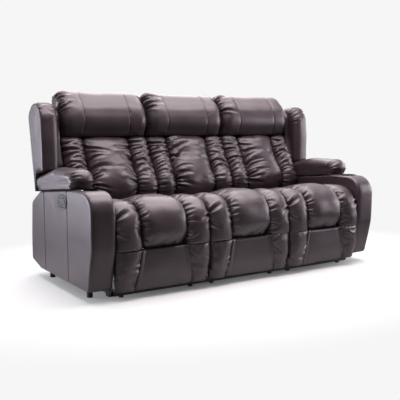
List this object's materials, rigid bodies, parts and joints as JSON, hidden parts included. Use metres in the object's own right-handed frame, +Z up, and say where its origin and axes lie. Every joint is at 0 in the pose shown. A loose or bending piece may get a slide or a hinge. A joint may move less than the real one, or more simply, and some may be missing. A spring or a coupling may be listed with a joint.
{
  "type": "reclining sofa",
  "caption": "Winged power reclining sofa with channelled leather cushions, swing-out footrests, tilting backs, padded arms, cup holders and arm switches.",
  "frame": {"origin": "on the floor under the middle of the sofa", "axes": "+Z up, the front faces -Y, +X to the right seen from the front"},
  "size_m": [1.89, 0.8997, 1.04],
  "materials": {
    "leather": "semi-matte dark brown upholstery leather",
    "rails": "black powder coat",
    "links": "zinc plated",
    "timber": "raw plywood and pine",
    "webbing": "woven elastic",
    "feet": "moulded",
    "cup": "black, glossy",
    "bezel": "satin silver",
    "button": "black",
    "drive": "black housing"
  },
  "bodies": {
    "base": {"arm_cover_l": "leather", "arm_cover_r": "leather", "arm_frame_l": "timber", "arm_frame_r": "timber", "arm_pad_l": "leather", "arm_pad_r": "leather", "back_frame_c": "rails", "back_shell_c": "leather", "base_feet": "feet", "base_rails": "rails", "cup_holder_l": "cup", "cup_holder_r": "cup", "drive_body_l": "drive", "drive_body_r": "drive", "front_board_c": "timber", "front_pad_c": "leather", "head_pillow_c": "leather", "lumbar_cushion_c": "leather", "mechanism_plates_l": "links", "mechanism_plates_r": "links", "seat_cushion_c": "leather", "seat_cushion_l": "leather", "seat_cushion_r": "leather", "seat_frame_c": "timber", "seat_frame_l": "timber", "seat_frame_r": "timber", "seat_webbing_c": "webbing", "seat_webbing_l": "webbing", "seat_webbing_r": "webbing", "switch_bezel_l": "bezel", "switch_bezel_r": "bezel"},
    "drive_l": {"drive_links_l": "links"},
    "carrier_l": {"carrier_links_l": "links"},
    "rear_helper_l": {"rear_helpers_l": "links"},
    "front_helper_l": {"front_helpers_l": "links"},
    "footrest_l": {"footrest_pan_l": "rails", "footrest_pad_l": "leather"},
    "rod_l": {"push_rod_l": "links"},
    "back_l": {"back_frame_l": "rails", "back_shell_l": "leather", "lumbar_cushion_l": "leather", "head_pillow_l": "leather", "wing_l": "leather"},
    "open_button_l": {"button_open_l": "button"},
    "close_button_l": {"button_close_l": "button"},
    "drive_r": {"drive_links_r": "links"},
    "carrier_r": {"carrier_links_r": "links"},
    "rear_helper_r": {"rear_helpers_r": "links"},
    "front_helper_r": {"front_helpers_r": "links"},
    "footrest_r": {"footrest_pan_r": "rails", "footrest_pad_r": "leather"},
    "rod_r": {"push_rod_r": "links"},
    "back_r": {"back_frame_r": "rails", "back_shell_r": "leather", "lumbar_cushion_r": "leather", "head_pillow_r": "leather", "wing_r": "leather"},
    "open_button_r": {"button_open_r": "button"},
    "close_button_r": {"button_close_r": "button"}
  },
  "joints": [
    {"name": "footrest_drive_l", "type": "hinge", "parent": "base", "child": "drive_l", "pos_m": [-0.54, -0.2325, 0.2776], "axis": [-1, 0, 0], "range_deg": [0, 85.47]},
    {"name": "knee_l", "type": "hinge", "parent": "drive_l", "child": "carrier_l", "pos_m": [-0.54, -0.1708, 0.1116], "axis": [-1, 0, 0], "range_deg": [-79, 0]},
    {"name": "footrest_tilt_l", "type": "hinge", "parent": "carrier_l", "child": "footrest_l", "pos_m": [-0.54, -0.3584, 0.1943], "axis": [-1, 0, 0], "range_deg": [0, 78.5]},
    {"name": "rear_helper_l", "type": "hinge", "parent": "base", "child": "rear_helper_l", "pos_m": [-0.54, -0.1665, 0.2726], "axis": [-1, 0, 0], "range_deg": [0, 85.3]},
    {"name": "front_helper_l", "type": "hinge", "parent": "drive_l", "child": "front_helper_l", "pos_m": [-0.54, -0.1375, 0.1546], "axis": [-1, 0, 0], "range_deg": [-76.9, 0]},
    {"name": "push_rod_l", "type": "slide", "parent": "base", "child": "rod_l", "axis": [0, -1, 0], "range_m": [0, 0.0816]},
    {"name": "recline_l", "type": "hinge", "parent": "base", "child": "back_l", "pos_m": [-0.54, 0.27, 0.29], "axis": [-1, 0, 0], "range_deg": [0, 25]},
    {"name": "open_button_l", "type": "slide", "parent": "base", "child": "open_button_l", "axis": [1, 0, 0], "range_m": [0, 0.0025], "stiffness_N_per_m": 600, "springref_m": -0.002},
    {"name": "close_button_l", "type": "slide", "parent": "base", "child": "close_button_l", "axis": [1, 0, 0], "range_m": [0, 0.0025], "stiffness_N_per_m": 600, "springref_m": -0.002},
    {"name": "footrest_drive_r", "type": "hinge", "parent": "base", "child": "drive_r", "pos_m": [0.54, -0.2325, 0.2776], "axis": [-1, 0, 0], "range_deg": [0, 85.47]},
    {"name": "knee_r", "type": "hinge", "parent": "drive_r", "child": "carrier_r", "pos_m": [0.54, -0.1708, 0.1116], "axis": [-1, 0, 0], "range_deg": [-79, 0]},
    {"name": "footrest_tilt_r", "type": "hinge", "parent": "carrier_r", "child": "footrest_r", "pos_m": [0.54, -0.3584, 0.1943], "axis": [-1, 0, 0], "range_deg": [0, 78.5]},
    {"name": "rear_helper_r", "type": "hinge", "parent": "base", "child": "rear_helper_r", "pos_m": [0.54, -0.1665, 0.2726], "axis": [-1, 0, 0], "range_deg": [0, 85.3]},
    {"name": "front_helper_r", "type": "hinge", "parent": "drive_r", "child": "front_helper_r", "pos_m": [0.54, -0.1375, 0.1546], "axis": [-1, 0, 0], "range_deg": [-76.9, 0]},
    {"name": "push_rod_r", "type": "slide", "parent": "base", "child": "rod_r", "axis": [0, -1, 0], "range_m": [0, 0.0816]},
    {"name": "recline_r", "type": "hinge", "parent": "base", "child": "back_r", "pos_m": [0.54, 0.27, 0.29], "axis": [-1, 0, 0], "range_deg": [0, 25]},
    {"name": "open_button_r", "type": "slide", "parent": "base", "child": "open_button_r", "axis": [-1, 0, 0], "range_m": [0, 0.0025], "stiffness_N_per_m": 600, "springref_m": -0.002},
    {"name": "close_button_r", "type": "slide", "parent": "base", "child": "close_button_r", "axis": [-1, 0, 0], "range_m": [0, 0.0025], "stiffness_N_per_m": 600, "springref_m": -0.002}
  ],
  "couplings": [
    {"joint": "knee_l", "follows": "footrest_drive_l", "ratio": -0.92259},
    {"joint": "footrest_tilt_l", "follows": "footrest_drive_l", "ratio": 0.91707},
    {"joint": "rear_helper_l", "follows": "footrest_drive_l", "ratio": 0.99675},
    {"joint": "front_helper_l", "follows": "footrest_drive_l", "ratio": -0.89849},
    {"joint": "push_rod_l", "follows": "footrest_drive_l", "m_per_rad": 0.05459},
    {"joint": "knee_r", "follows": "footrest_drive_r", "ratio": -0.92259},
    {"joint": "footrest_tilt_r", "follows": "footrest_drive_r", "ratio": 0.91707},
    {"joint": "rear_helper_r", "follows": "footrest_drive_r", "ratio": 0.99675},
    {"joint": "front_helper_r", "follows": "footrest_drive_r", "ratio": -0.89849},
    {"joint": "push_rod_r", "follows": "footrest_drive_r", "m_per_rad": 0.05459}
  ]
}
